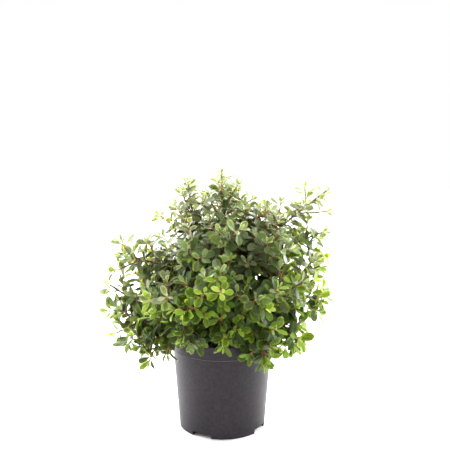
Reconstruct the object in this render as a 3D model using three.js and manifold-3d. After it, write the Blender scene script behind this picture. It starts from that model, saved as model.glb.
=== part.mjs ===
// Potted red dream escallonia: a small evergreen shrub in the round nursery pot that it is sold in.
// Millimetres, +Z up. The origin is the middle of the pot's flat underside.
// A bearing is in degrees from +X, the plant's right side, turning towards +Y, its back. The front is at -90.

import * as THREE from "three";
import { mergeVertices } from "three/addons/utils/BufferGeometryUtils.js";
import Module from "manifold-3d";

const wasm = await Module();
wasm.setup();

// Driving dimensions

const GAP = 0.3; // clear space where two pieces meet
const FINEST = 0.06; // detail smaller than this is left out where solids are joined or cut
const SEED = 41;

// What each number drawn by chance is for
const DRAW = { bearing: 1, height: 2, twigPlace: 5, twigTwist: 6, twigTilt: 7, leafLength: 9 };

const POT = {
  height: 173,
  rimRadius: 91,
  footRadius: 77.2,
  bandHeight: 25, // the smooth band under the rim
  bandProud: 1.3, // how far the band stands out of the wall
  wall: 1.6,
  floor: 2.4,
  lip: 3.8, // width of the rim's flat top
  lipDepth: 2.2,
  footRound: 1.4, // radius of the rounded edge round the underside
  rimBevel: 0.7, // on the rim's outer edge
  sides: 40,
};

// The notches in the foot of the wall. Each opens into a shallow pocket with a drain hole in its roof.
const DRAIN = { count: 4, firstBearing: -28, width: 37, height: 8, depth: 20, holeRadius: 4, holeSides: 10 };

const COMPOST = { belowRim: 17, flatRadius: 34, edgeDrop: 3, sides: 32 };

const TRUNK = {
  height: 54,
  leanX: 4,
  leanY: -3,
  outward: 0.5, // how far it rises upright before it leans, as a share of its height
  radius: 6.6,
  tipRadius: 4.8,
  flare: 5, // how much wider the foot is than the trunk
  flareHeight: 7,
  lobes: 5,
  lobeDepth: 0.12,
  lowestFork: 14, // height above the compost where the first bough leaves
  highestFork: 50,
  sides: 10,
  steps: 9,
};

const BOUGH = { radius: 3.5, tipRadius: 2.9, outward: 0.45, sides: 6, steps: 6 };

// Each bough carries three stems, and each stem is the middle of one mass of leaves.
const STEM = {
  radius: 1.35,
  tipRadius: 0.95,
  ring: 1.9, // from the bough's axis to the stem's, where the stem starts
  fan: 45, // tilt away from the bough where the stem starts
  outward: 0.35,
  leafTurn: 144, // from each leaf to the next round the stem: two fifths of a turn
  sides: 5,
  steps: 4,
};
const TWIG = {
  count: 2, // on each stem
  first: 0.4, // share of the stem's length where the first one leaves
  last: 0.95,
  firstTurn: 36,
  share: 0.55, // length as a share of its stem's, for one that leaves the stem's foot
  shareLost: 0.22, // how much of that is gone at the stem's tip
  shortest: 26,
  longest: 48,
  tilt: 52,
  tiltSway: 10,
  outward: 0.5,
  lift: 0.1, // how much the outer half turns up to the light
  radius: 1.2,
  tipRadius: 0.85,
  leafTurn: 120,
  sides: 3,
  steps: 2,
};
const LEAF = {
  length: 41,
  lengthSway: 4,
  youngest: 0.78, // length of the leaf at the very tip of a shoot, as a share of the others'
  youngFrom: 0.8, // share of the shoot's length where the leaves start to get smaller
  width: 0.6, // as a share of the length
  widest: 0.58, // share of the length where it is widest
  blunt: 0.2, // half the width of the rounded tip, as a share of the full width
  keel: 1.3, // depth of the stiff rib under the blade
  keelAt: 0.12,
  margin: 0.4, // how far it stays inside its mass's space
  clearance: 0.8, // from any limb but its own stem
};
const POT_CLEARANCE = 1; // from the pot to any leaf or twig
const CHECKS = 12; // places along a twig where its room is looked at
const LIMB_SPACING = 2; // between the places where the limbs' room is kept
const SPINE_SHARES = [0.2, 0.5, 0.8, 1]; // of a stem's length
const NEARLY_UPRIGHT = 0.05; // sine of the lean below which a limb counts as upright

// Where the leaves of a shoot sit: share of its length, and the tilt away from it.
const TWIG_LEAVES = [
  { at: 0.45, tilt: 64 },
  { at: 0.7, tilt: 58 },
  { at: 0.88, tilt: 50 },
  { at: 0.97, tilt: 34 },
];
const STEM_LEAVES = [
  { at: 0.2, tilt: 68 },
  { at: 0.288, tilt: 68 },
  { at: 0.374, tilt: 68 },
  { at: 0.458, tilt: 68 },
  { at: 0.539, tilt: 67 },
  { at: 0.617, tilt: 65 },
  { at: 0.692, tilt: 62 },
  { at: 0.763, tilt: 60 },
  { at: 0.83, tilt: 58 },
  { at: 0.892, tilt: 57 },
  { at: 0.946, tilt: 43 },
  { at: 0.985, tilt: 26 },
];

// Each bough, from the lowest fork to the highest: where its tip is, and where the three shoots that carry its
// masses of leaves end. Each place is a bearing, a reach from the pot's axis and a height above the ground.
// A bough behind, which the front hides, repeats one in front across the plant.
const BOUGHS = [
  { name: "low_front_left", tip: [-132, 68, 203], shoots: [[-157, 148, 167], [-140, 149, 256], [-118, 130, 204]] },
  { name: "low_right", tip: [0, 74, 210], shoots: [[-5, 164, 294], [-3, 177, 240], [-24, 134, 172]] },
  { name: "low_back_left", behind: "low_front_left" },
  { name: "low_front_right", tip: [-49, 66, 207], shoots: [[-69, 150, 270], [-57, 130, 172], [-36, 158, 284]] },
  { name: "low_left", tip: [180, 70, 206], shoots: [[179, 194, 254], [-172, 182, 182], [149, 160, 236]] },
  { name: "low_back_right", behind: "low_front_right" },
  { name: "front", tip: [-90, 56, 240], shoots: [[-92, 145, 312], [-112, 150, 252], [-88, 122, 194]] },
  { name: "back", behind: "front" },
  { name: "high_right", tip: [5, 52, 285], shoots: [[0, 172, 421], [29, 114, 366], [3, 168, 350]] },
  { name: "high_left", tip: [178, 50, 270], shoots: [[140, 104, 384], [180, 172, 312], [-119, 114, 342]] },
  { name: "high_front", tip: [-45, 48, 288], shoots: [[-41, 118, 358], [-41, 53, 400], [-92, 92, 366]] },
  { name: "crest", tip: [150, 8, 305], shoots: [[0, 0, 446], [-163, 60, 433], [79, 76, 408]] },
];
const BEHIND = { higher: 14, wider: 1.06, bearingSway: 7, heightSway: 9 };

const COLOURS = {
  pot: 0x454345,
  compost: 0x2a211b,
  bark: 0x5d4636,
  leaf: 0x4c7a2c,
};

// Numbers by chance, the same on every run

function chance(...keys) {
  let mix = SEED;
  for (const key of keys) {
    mix = Math.imul(mix ^ key, 0x9e3779b1) >>> 0;
    mix ^= mix >>> 15;
    mix = Math.imul(mix, 0x85ebca77) >>> 0;
    mix ^= mix >>> 13;
  }
  return (mix >>> 0) / 4294967296;
}

function sway(...keys) {
  return 2 * chance(...keys) - 1;
}

// Places and directions

const UP = new THREE.Vector3(0, 0, 1);
const { degToRad, radToDeg, lerp } = THREE.MathUtils;

function place(bearing, reach, height) {
  return new THREE.Vector3(reach * Math.cos(degToRad(bearing)), reach * Math.sin(degToRad(bearing)), height);
}

// A limb follows straight pieces, as its faceted tube does, so that what grows from it starts inside the tube.
class Limb {
  // It leaves its start in one direction and bends to its end.
  constructor(start, heading, outward, end, steps, twist = 0) {
    const control = start.clone().addScaledVector(heading, outward * start.distanceTo(end));
    const curve = new THREE.QuadraticBezierCurve3(start, control, end);
    this.steps = steps;
    this.points = curve.getPoints(steps);
    this.directions = this.points.map((_, i) => curve.getTangent(i / steps));
    this.side = new THREE.Vector3().crossVectors(heading, UP);
    if (this.side.length() < NEARLY_UPRIGHT) this.side.set(1, 0, 0);
    this.side.applyAxisAngle(heading, degToRad(twist));
  }

  pieceAt(share) {
    const piece = Math.min(Math.floor(share * this.steps), this.steps - 1);
    return [piece, share * this.steps - piece];
  }

  pointAt(share) {
    const [piece, rest] = this.pieceAt(share);
    return this.points[piece].clone().lerp(this.points[piece + 1], rest);
  }

  directionAt(share) {
    const [piece, rest] = this.pieceAt(share);
    return this.directions[piece].clone().lerp(this.directions[piece + 1], rest).normalize();
  }

  length() {
    return this.points.slice(1).reduce((sum, point, i) => sum + point.distanceTo(this.points[i]), 0);
  }

  // A direction tilted away from the limb and turned round it.
  headingAt(share, turn, tilt) {
    const along = this.directionAt(share);
    const side = this.side.clone().addScaledVector(along, -this.side.dot(along)).normalize();
    const over = new THREE.Vector3().crossVectors(side, along);
    return along
      .multiplyScalar(Math.cos(degToRad(tilt)))
      .addScaledVector(side, Math.sin(degToRad(tilt)) * Math.cos(degToRad(turn)))
      .addScaledVector(over, Math.sin(degToRad(tilt)) * Math.sin(degToRad(turn)));
  }
}

// Solids

function solidOf(geometry) {
  geometry.deleteAttribute("normal");
  geometry.deleteAttribute("uv");
  const merged = mergeVertices(geometry, 1e-4);
  return new wasm.Manifold(
    new wasm.Mesh({
      numProp: 3,
      vertProperties: merged.getAttribute("position").array,
      triVerts: new Uint32Array(merged.index.array),
    }),
  );
}

// The joined or cut solid as a geometry, without slivers finer than it needs.
function geometryOf(solid) {
  const { vertProperties, triVerts } = solid.asOriginal().simplify(FINEST).getMesh();
  return new THREE.BufferGeometry()
    .setAttribute("position", new THREE.BufferAttribute(vertProperties, 3))
    .setIndex(new THREE.BufferAttribute(triVerts, 1));
}

// A closed tube along a limb, with the middle of a flat side at turn 0. radiusAt gives the radius for a share of
// the length and a turn round the limb.
function tube(limb, radiusAt, sides) {
  const geometry = new THREE.CylinderGeometry(1, 1, 1, sides, limb.steps);
  const position = geometry.getAttribute("position");
  const vertex = new THREE.Vector3();
  for (let i = 0; i < position.count; i++) {
    vertex.fromBufferAttribute(position, i);
    const share = Math.round((0.5 + vertex.y) * limb.steps) / limb.steps;
    const turn = radToDeg(Math.atan2(vertex.z, vertex.x)) - 90 + 180 / sides;
    const reach = Math.hypot(vertex.x, vertex.z) * radiusAt(share, turn);
    vertex.copy(limb.headingAt(share, turn, 90)).multiplyScalar(reach).add(limb.pointAt(share));
    position.setXYZ(i, vertex.x, vertex.y, vertex.z);
  }
  return geometry;
}

function taper(sizes) {
  return (share) => lerp(sizes.radius, sizes.tipRadius, share);
}

// The pot

function outerProfile() {
  const { height, rimRadius, footRadius, bandHeight, bandProud, footRound, rimBevel } = POT;
  const bandFoot = height - bandHeight;
  const bandRadius = rimRadius - bandProud;
  const footEdge = new THREE.ArcCurve(footRadius - footRound, footRound, footRound, -Math.PI / 2, 0, false);
  return [
    new THREE.Vector2(0, 0),
    ...footEdge.getPoints(2),
    new THREE.Vector2(bandRadius - bandProud, bandFoot),
    new THREE.Vector2(bandRadius, bandFoot + bandProud),
    new THREE.Vector2(rimRadius, height - rimBevel),
    new THREE.Vector2(rimRadius - rimBevel, height),
  ];
}

// The radius inside the tapered wall, below the band.
function innerRadius(z) {
  const wallTop = POT.rimRadius - 2 * POT.bandProud;
  return lerp(POT.footRadius, wallTop, z / (POT.height - POT.bandHeight)) - POT.wall;
}

function innerProfile() {
  const { height, rimRadius, bandHeight, floor, lip, lipDepth } = POT;
  const bandFoot = height - bandHeight;
  return [
    new THREE.Vector2(rimRadius - lip, height),
    new THREE.Vector2(innerRadius(bandFoot), height - lipDepth),
    new THREE.Vector2(innerRadius(bandFoot), bandFoot),
    new THREE.Vector2(innerRadius(floor), floor),
    new THREE.Vector2(0, floor),
  ];
}

// A lathe turns about Y, so it is stood up on Z.
function turned(profile, sides) {
  return new THREE.LatheGeometry(profile, sides).rotateX(Math.PI / 2);
}

// The same shape at each notch, as solids turned to the notches' bearings.
function atEachNotch(makeGeometry) {
  return Array.from({ length: DRAIN.count }, (_, i) => {
    const bearing = degToRad(DRAIN.firstBearing + (360 / DRAIN.count) * i);
    return solidOf(makeGeometry().rotateZ(bearing));
  });
}

// The space of a notch, grown by a margin. It starts below the pot and runs out past its wall.
function notchBox(margin) {
  const length = 2 * (DRAIN.depth + margin);
  const width = DRAIN.width + 2 * margin;
  return new THREE.BoxGeometry(length, width, 2 * (DRAIN.height + margin)).translate(POT.footRadius, 0, 0);
}

function drainHole() {
  return new THREE.CylinderGeometry(DRAIN.holeRadius, DRAIN.holeRadius, 2 * DRAIN.height, DRAIN.holeSides)
    .rotateX(Math.PI / 2)
    .translate(POT.footRadius - DRAIN.depth / 2, 0, DRAIN.height);
}

function pot() {
  const { union } = wasm.Manifold;
  const whole = solidOf(turned([...outerProfile(), new THREE.Vector2(0, POT.height)], POT.sides));
  const shell = solidOf(turned([...outerProfile(), ...innerProfile()], POT.sides));
  const pockets = union(atEachNotch(() => notchBox(POT.wall))).intersect(whole);
  const cuts = union([...atEachNotch(() => notchBox(0)), ...atEachNotch(drainHole)]);
  return geometryOf(shell.add(pockets).subtract(cuts));
}

// The compost

const compostTop = POT.height - COMPOST.belowRim;

function compost() {
  const bandFoot = POT.height - POT.bandHeight;
  const radiusAt = (z) => innerRadius(z) - 2 * GAP;
  const foot = POT.floor + GAP;
  const profile = [
    new THREE.Vector2(0, foot),
    new THREE.Vector2(radiusAt(foot), foot),
    new THREE.Vector2(radiusAt(bandFoot), bandFoot),
    new THREE.Vector2(radiusAt(bandFoot), compostTop - COMPOST.edgeDrop),
    new THREE.Vector2(COMPOST.flatRadius, compostTop),
    new THREE.Vector2(0, compostTop),
  ];
  const pockets = wasm.Manifold.union(atEachNotch(() => notchBox(POT.wall + GAP)));
  return geometryOf(solidOf(turned(profile, COMPOST.sides)).subtract(pockets));
}

// The trunk

const trunkFoot = place(0, 0, compostTop + GAP);
const trunkTop = new THREE.Vector3(TRUNK.leanX, TRUNK.leanY, trunkFoot.z + TRUNK.height);
const trunk = new Limb(trunkFoot, UP, TRUNK.outward, trunkTop, TRUNK.steps);

function flareAt(share) {
  return Math.exp((-share * TRUNK.height) / TRUNK.flareHeight);
}

function trunkRadius(share) {
  return taper(TRUNK)(share) + TRUNK.flare * flareAt(share);
}

function trunkGeometry() {
  const lobes = (share, turn) => 1 + TRUNK.lobeDepth * flareAt(share) * Math.cos(TRUNK.lobes * degToRad(turn));
  return tube(trunk, (share, turn) => trunkRadius(share) * lobes(share, turn), TRUNK.sides);
}

// The boughs

function mirrored([bearing, reach, height], ...keys) {
  return [
    -bearing + BEHIND.bearingSway * sway(...keys, DRAW.bearing),
    reach * BEHIND.wider,
    height + BEHIND.higher + BEHIND.heightSway * sway(...keys, DRAW.height),
  ];
}

function sizesOf(bough, rank) {
  if (!bough.behind) return bough;
  const { tip, shoots } = BOUGHS.find(({ name }) => name === bough.behind);
  return { name: bough.name, tip: mirrored(tip, rank), shoots: shoots.map((shoot, k) => mirrored(shoot, rank, k)) };
}

// The last bough carries on from the trunk's top. The others leave its sides, each above the one before.
function boughLimb({ tip }, rank) {
  const end = place(...tip);
  if (rank === BOUGHS.length - 1) {
    const onward = trunk.directionAt(1);
    const start = trunk.pointAt(1).addScaledVector(onward, GAP);
    return new Limb(start, onward, BOUGH.outward, end, BOUGH.steps);
  }
  const share = lerp(TRUNK.lowestFork, TRUNK.highestFork, rank / (BOUGHS.length - 2)) / TRUNK.height;
  const along = trunk.directionAt(share);
  const outward = place(tip[0], 1, 0);
  outward.addScaledVector(along, -outward.dot(along)).normalize();
  const widest = trunkRadius(share - BOUGH.radius / TRUNK.height);
  const start = trunk.pointAt(share).addScaledVector(outward, widest + GAP);
  return new Limb(start, outward, BOUGH.outward, end, BOUGH.steps);
}

// The three stems of a bough leave its end face evenly spread round it, each on the side that it ends on.
function stemLimbs(bough, ends) {
  const tip = bough.pointAt(1);
  const side = bough.headingAt(1, 0, 90);
  const over = bough.headingAt(1, 90, 90);
  const turns = ends.map((end) => {
    const way = end.clone().sub(tip);
    return radToDeg(Math.atan2(way.dot(over), way.dot(side)));
  });
  const order = ends.map((_, i) => i).sort((a, b) => turns[a] - turns[b]);
  const step = 360 / ends.length;
  const first = order.reduce((sum, i, rank) => sum + turns[i] - rank * step, 0) / ends.length;
  const above = GAP + STEM.radius * Math.sin(degToRad(STEM.fan));
  return ends.map((end, i) => {
    const turn = first + order.indexOf(i) * step;
    const start = tip.clone().addScaledVector(bough.directionAt(1), above);
    start.addScaledVector(bough.headingAt(1, turn, 90), STEM.ring);
    return new Limb(start, bough.headingAt(1, turn, STEM.fan), STEM.outward, end, STEM.steps, turn);
  });
}

const boughs = BOUGHS.map(sizesOf).map((bough, rank) => {
  const limb = boughLimb(bough, rank);
  const ends = bough.shoots.map((shoot) => place(...shoot));
  return { name: bough.name, limb, stems: stemLimbs(limb, ends) };
});

// The masses of leaves

const masses = boughs.flatMap(({ name, stems }) =>
  stems.map((stem, k) => ({ name: `leaves_${name}_${k + 1}`, stem, spine: spineOf(stem) })),
);
masses.forEach((mass, index) => {
  mass.index = index;
});

// The outer part of a stem, as straight lines: a mass's space is what lies nearer to its own than to any other.
function spineOf(stem) {
  const points = SPINE_SHARES.map((share) => stem.pointAt(share));
  return points.slice(1).map((point, i) => new THREE.Line3(points[i], point));
}

function distanceTo(spine, point) {
  const nearest = new THREE.Vector3();
  return Math.min(...spine.map((line) => line.closestPointToPoint(point, true, nearest).distanceTo(point)));
}

// Points along every limb, which the leaves and twigs keep clear of.
function limbPoints() {
  const points = [];
  const add = (limb, radiusAt, owner) => {
    const count = Math.ceil(limb.length() / LIMB_SPACING);
    for (let i = 0; i <= count; i++) {
      points.push({ point: limb.pointAt(i / count), radius: radiusAt(i / count), owner });
    }
  };
  add(trunk, trunkRadius, -1);
  boughs.forEach(({ limb }) => add(limb, taper(BOUGH), -1));
  masses.forEach(({ stem, index }) => add(stem, taper(STEM), index));
  return points;
}

const limbs = limbPoints();

function insideSpace(mass, point, radius) {
  const room = radius + POT_CLEARANCE;
  const outsidePot = point.z - room > POT.height || Math.hypot(point.x, point.y) - room > POT.rimRadius;
  if (!outsidePot) return false;
  const own = distanceTo(mass.spine, point);
  return masses.every((other) => other === mass || distanceTo(other.spine, point) - own > 2 * (radius + GAP));
}

// A twig leaves its stem at a tilt and turns up to the light.
function twigLimb({ index, stem }, k) {
  const rank = (k + 0.5 * chance(index, k, DRAW.twigPlace)) / TWIG.count;
  const at = lerp(TWIG.first, TWIG.last, rank);
  const turn = STEM.leafTurn * k + TWIG.firstTurn;
  const heading = stem.headingAt(at, turn, TWIG.tilt + TWIG.tiltSway * sway(index, k, DRAW.twigTilt));
  const wanted = stem.length() * (TWIG.share - TWIG.shareLost * at);
  const length = THREE.MathUtils.clamp(wanted, TWIG.shortest, TWIG.longest);
  const start = stem.pointAt(at);
  const end = start.clone().addScaledVector(heading, length).addScaledVector(UP, TWIG.lift * length);
  return new Limb(start, heading, TWIG.outward, end, TWIG.steps, 360 * chance(index, k, DRAW.twigTwist));
}

function twigFits(mass, twig) {
  const others = limbs.filter(({ owner }) => owner !== mass.index);
  for (let i = 1; i <= CHECKS; i++) {
    const point = twig.pointAt(i / CHECKS);
    const room = TWIG.radius + LEAF.clearance;
    if (!insideSpace(mass, point, TWIG.radius)) return false;
    if (others.some((limb) => limb.point.distanceTo(point) < limb.radius + room)) return false;
  }
  return true;
}

// The corners of one leaf: its root in the shoot, its two sides, its blunt tip and the keel under its stalk.
function leafCorners(shoot, { at, tilt }, turn, length) {
  const along = shoot.directionAt(at);
  const heading = shoot.headingAt(at, turn, tilt);
  const normal = along.clone().addScaledVector(heading, -along.dot(heading)).normalize();
  const side = new THREE.Vector3().crossVectors(heading, normal);
  const corner = (onward, across, above) =>
    shoot
      .pointAt(at)
      .addScaledVector(heading, onward * length)
      .addScaledVector(side, across * LEAF.width * length)
      .addScaledVector(normal, above);
  return [
    corner(0, 0, 0),
    corner(LEAF.widest, 0.5, 0),
    corner(LEAF.widest, -0.5, 0),
    corner(1, LEAF.blunt, 0),
    corner(1, -LEAF.blunt, 0),
    corner(LEAF.keelAt, 0, -LEAF.keel),
  ];
}

const LEAF_FACES = [
  [0, 1, 3], [0, 3, 4], [0, 4, 2],
  [0, 5, 1], [1, 5, 3],
  [3, 5, 4], [4, 5, 2], [2, 5, 0],
];

function leafSolid(corners) {
  return new wasm.Manifold(
    new wasm.Mesh({
      numProp: 3,
      vertProperties: new Float32Array(corners.flatMap((corner) => corner.toArray())),
      triVerts: new Uint32Array(LEAF_FACES.flat()),
    }),
  );
}

function leafFits(mass, [root, left, right, tipLeft, tipRight]) {
  const between = (a, b) => a.clone().lerp(b, 0.5);
  const edge = [left, right, tipLeft, tipRight];
  const inner = [between(left, tipLeft), between(right, tipRight), between(left, right), between(root, left)];
  const inside = (point) => insideSpace(mass, point, LEAF.margin);
  if (![...edge, ...inner].every(inside)) return false;
  const blade = [
    new THREE.Triangle(root, left, tipLeft),
    new THREE.Triangle(root, tipLeft, tipRight),
    new THREE.Triangle(root, tipRight, right),
  ];
  const nearest = new THREE.Vector3();
  return limbs.every(({ point, radius, owner }) => {
    if (owner === mass.index || point.distanceTo(left) > 1.5 * LEAF.length) return true;
    return blade.every((part) => {
      part.closestPointToPoint(point, nearest);
      return nearest.distanceTo(point) > radius + LEAF.clearance;
    });
  });
}

function leafLength(at, ...keys) {
  const young = Math.max(0, at - LEAF.youngFrom) / (1 - LEAF.youngFrom);
  return (LEAF.length + LEAF.lengthSway * sway(...keys, DRAW.leafLength)) * lerp(1, LEAF.youngest, young);
}

// Each leaf is a leafTurn on from the last. One with no room there is turned on again, once round at most.
function leavesOf(mass, shoot, { leafTurn, sides }, spots, key) {
  const solids = [];
  spots.forEach((spot, n) => {
    const length = leafLength(spot.at, mass.index, key, n);
    for (let trial = 0; trial < sides; trial++) {
      const corners = leafCorners(shoot, spot, leafTurn * (n + trial), length);
      if (!leafFits(mass, corners)) continue;
      solids.push(leafSolid(corners));
      break;
    }
  });
  return solids;
}

// A mass is its stem, the twigs that fit and the leaves of both, fused.
function leafMass(mass) {
  const { stem } = mass;
  const solids = [solidOf(tube(stem, taper(STEM), STEM.sides))];
  solids.push(...leavesOf(mass, stem, STEM, STEM_LEAVES, TWIG.count));
  for (let k = 0; k < TWIG.count; k++) {
    const twig = twigLimb(mass, k);
    if (!twigFits(mass, twig)) continue;
    solids.push(solidOf(tube(twig, taper(TWIG), TWIG.sides)));
    solids.push(...leavesOf(mass, twig, TWIG, TWIG_LEAVES, k));
  }
  return geometryOf(wasm.Manifold.union(solids));
}

// The plant in its pot

function piece(name, geometry, color, roughness) {
  const mesh = new THREE.Mesh(geometry, new THREE.MeshStandardMaterial({ color, roughness, metalness: 0 }));
  mesh.name = name;
  return mesh;
}

const group = new THREE.Group();
group.add(piece("pot", pot(), COLOURS.pot, 0.45));
group.add(piece("compost", compost(), COLOURS.compost, 0.95));
group.add(piece("trunk", trunkGeometry(), COLOURS.bark, 0.85));
for (const { name, limb } of boughs) {
  group.add(piece(`bough_${name}`, tube(limb, taper(BOUGH), BOUGH.sides), COLOURS.bark, 0.8));
}
for (const mass of masses) {
  group.add(piece(mass.name, leafMass(mass), COLOURS.leaf, 0.5));
}

export default group;
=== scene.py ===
"""The looks of the potted red dream escallonia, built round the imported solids.

The plant is grown here again by the rule of its solids, from the same sizes, and carried on to finer twigs
and to leaves of life size. Sizes of the plant are in millimetres, as in the solids; a mesh is in metres.
A bearing is in degrees from +X, the plant's right side, towards +Y, its back. The front is at -90.
"""

import math
from itertools import combinations, product

import bpy
import numpy as np
from mathutils import Matrix, Vector, noise


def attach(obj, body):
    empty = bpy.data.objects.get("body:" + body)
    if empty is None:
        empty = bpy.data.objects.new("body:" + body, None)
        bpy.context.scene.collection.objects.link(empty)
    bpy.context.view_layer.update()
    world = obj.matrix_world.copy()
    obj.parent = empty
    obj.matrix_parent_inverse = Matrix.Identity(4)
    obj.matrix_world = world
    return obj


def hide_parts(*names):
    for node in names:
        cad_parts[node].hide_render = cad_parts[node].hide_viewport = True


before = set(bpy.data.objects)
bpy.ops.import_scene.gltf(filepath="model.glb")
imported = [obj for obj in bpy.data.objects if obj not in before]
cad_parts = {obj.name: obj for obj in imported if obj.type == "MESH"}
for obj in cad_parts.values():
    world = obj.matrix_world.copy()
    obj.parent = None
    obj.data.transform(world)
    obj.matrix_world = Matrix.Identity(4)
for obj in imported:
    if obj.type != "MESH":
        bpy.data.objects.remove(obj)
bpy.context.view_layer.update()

MM = 0.001
GAP = 0.3
SEED = 41
UP = Vector((0, 0, 1))

# What each number drawn by chance is for
DRAW = {
    "bearing": 1, "height": 2, "twig_place": 5, "twig_twist": 6, "twig_tilt": 7, "leaf_length": 9,
    "leaf_turn": 11, "leaf_tilt": 12, "leaf_bend": 13, "leaf_fold": 14, "leaf_width": 15, "leaf_roll": 16,
    "leaf_tone": 17, "twig_length": 18, "spray_tone": 19,
}

POT = {
    "height": 173, "rim": 91, "foot": 77.2, "band_height": 25, "band_proud": 1.3, "wall": 1.6, "floor": 2.4,
    "lip": 3.8, "lip_depth": 2.2, "lip_round": 0.5, "foot_round": 1.4, "rim_bevel": 0.7, "bevel_curve": 0.3,
    "rim_height": 2, "foot_steps": 6, "wall_steps": 12, "band_steps": 4, "sides": 192, "sharp_from": 32,
}
# The moulded line at the foot of the band
BEAD = {"proud": 0.35, "height": 1.3, "bevel": 0.3, "hollow": 0.2, "slack": 0.1}
DRAIN = {
    "count": 4, "first_bearing": -28, "width": 37, "height": 8, "depth": 20, "hole_radius": 4,
    "hole_sides": 24, "hole_foot": 1, "pocket_foot": 0.4, "pocket_inset": 2.6,
}
COMPOST = {
    "below_rim": 17, "flat_radius": 34, "edge_drop": 3, "rings": 46, "sides": 150, "neck": 30,
    "lump_level": 3, "lump_scale": 0.11, "lump_fade": 0.8, "lump_finer": 2.1, "lump_octaves": 4,
    "lump_height": 1.1, "lump_sink": 0.6,
}
# The radius and the height of the last two rings of the compost's body
COMPOST_FOOT = ((70, 14), (52, 12))
CRUMBS = {
    "count": 1500, "spread": 0.97, "smallest": 0.7, "size_sway": 1.7, "size_curve": 3, "bark_share": 0.22,
    "shortest": 0.75, "corner_sway": 0.5, "tilt": 0.5, "lift": 0.25,
}
CRUMB_STRETCH = {"crumbs_dark": (1.1, 1, 0.8), "crumbs_bark": (1.9, 0.9, 0.55)}

TRUNK = {
    "height": 54, "lean_x": 4, "lean_y": -3, "outward": 0.5, "radius": 6.6, "tip_radius": 4.8,
    "flare": 5, "flare_height": 7, "lobes": 5, "lobe_depth": 0.12, "lowest_fork": 14, "highest_fork": 50,
    "relief": 1.3, "sunk": 0, "sides": 40, "steps": 60,
}
BOUGH = {
    "radius": 3.5, "tip_radius": 2.9, "outward": 0.45, "relief": 0.8, "collar": 2.2, "collar_fade": 14,
    "sunk": 0.06, "sides": 20, "steps": 46,
}
# The relief of the bark, which is read a little outside a limb
BARK = {
    "stretch": 0.3, "fissure_scale": 0.55, "fissure_level": 0.25, "knob_scale": 0.9, "knob_share": 0.35,
    "read_at": 4,
}
STEM = {
    "key": 99, "radius": 1.7, "tip_radius": 1.45, "ring": 1.9, "fan": 45, "outward": 0.35, "turn": 144,
    "reach": 24, "bare": 0.3, "spacing": 8.5, "knuckles": 16, "sunk": 0.04, "sides": 9, "steps": 40,
}
TWIG_TUBE = {"knuckles": 7, "sunk": 0.03, "sides": 6, "steps": 14, "newest_from": 0.7, "checks": 6}
KNUCKLE_SWELLING = 0.09

# How far past its even place on the stem a twig may stand, in steps from one twig to the next
LOOSENESS = 0.5
# Each stem bears the twigs of the solids, and finer ones by the same rule. "reach" is how far past the end
# of a solid's limb its leaves reach, "bare" the share of a shoot without leaves.
TWIG = {
    "key": 0, "count": 2, "first": 0.4, "last": 0.95, "first_turn": 36, "share": 0.55, "share_lost": 0.22,
    "shortest": 26, "longest": 48, "tilt": 52, "tilt_sway": 10, "lift": 0.1, "high_lift": 0,
    "length_sway": 0, "outward": 0.5, "radius": 1.35, "tip_radius": 1.0, "reach": 22, "bare": 0.2,
    "spacing": 7,
}
FINE_TWIG = {
    "key": 2, "count": 8, "first": 0.16, "last": 0.93, "first_turn": 100, "share": 0.4, "share_lost": 0.17,
    "shortest": 20, "longest": 38, "tilt": 54, "tilt_sway": 14, "lift": 0, "high_lift": 0.42,
    "length_sway": 0.25, "outward": 0.5, "radius": 1.1, "tip_radius": 0.8, "reach": 15, "bare": 0.15,
    "spacing": 5.6,
}
SPUR = {
    "key": 10, "count": 7, "first": 0.3, "last": 0.97, "first_turn": 60, "share": 0.12, "share_lost": 0,
    "shortest": 9, "longest": 14, "tilt": 55, "tilt_sway": 14, "lift": 0.1, "high_lift": 0.2,
    "length_sway": 0.25, "outward": 0.5, "radius": 0.8, "tip_radius": 0.65, "reach": 0, "bare": 0.1,
    "spacing": 5,
}

# Each bough, from the lowest fork up: its tip and the ends of its three stems. Each place is a bearing, a
# reach from the pot's axis and a height above the ground. A bough behind names the one in front it repeats.
BOUGHS = {
    "low_front_left": ((-132, 68, 203), [(-157, 148, 167), (-140, 149, 256), (-118, 130, 204)]),
    "low_right": ((0, 74, 210), [(-5, 164, 294), (-3, 177, 240), (-24, 134, 172)]),
    "low_back_left": "low_front_left",
    "low_front_right": ((-49, 66, 207), [(-69, 150, 270), (-57, 130, 172), (-36, 158, 284)]),
    "low_left": ((180, 70, 206), [(179, 194, 254), (-172, 182, 182), (149, 160, 236)]),
    "low_back_right": "low_front_right",
    "front": ((-90, 56, 240), [(-92, 145, 312), (-112, 150, 252), (-88, 122, 194)]),
    "back": "front",
    "high_right": ((5, 52, 285), [(0, 172, 421), (29, 114, 366), (3, 168, 350)]),
    "high_left": ((178, 50, 270), [(140, 104, 384), (180, 172, 312), (-119, 114, 342)]),
    "high_front": ((-45, 48, 288), [(-41, 118, 358), (-41, 53, 400), (-92, 92, 366)]),
    "crest": ((150, 8, 305), [(0, 0, 446), (-163, 60, 433), (79, 76, 408)]),
}
BEHIND = {"higher": 14, "wider": 1.06, "bearing_sway": 7, "height_sway": 9}

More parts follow.
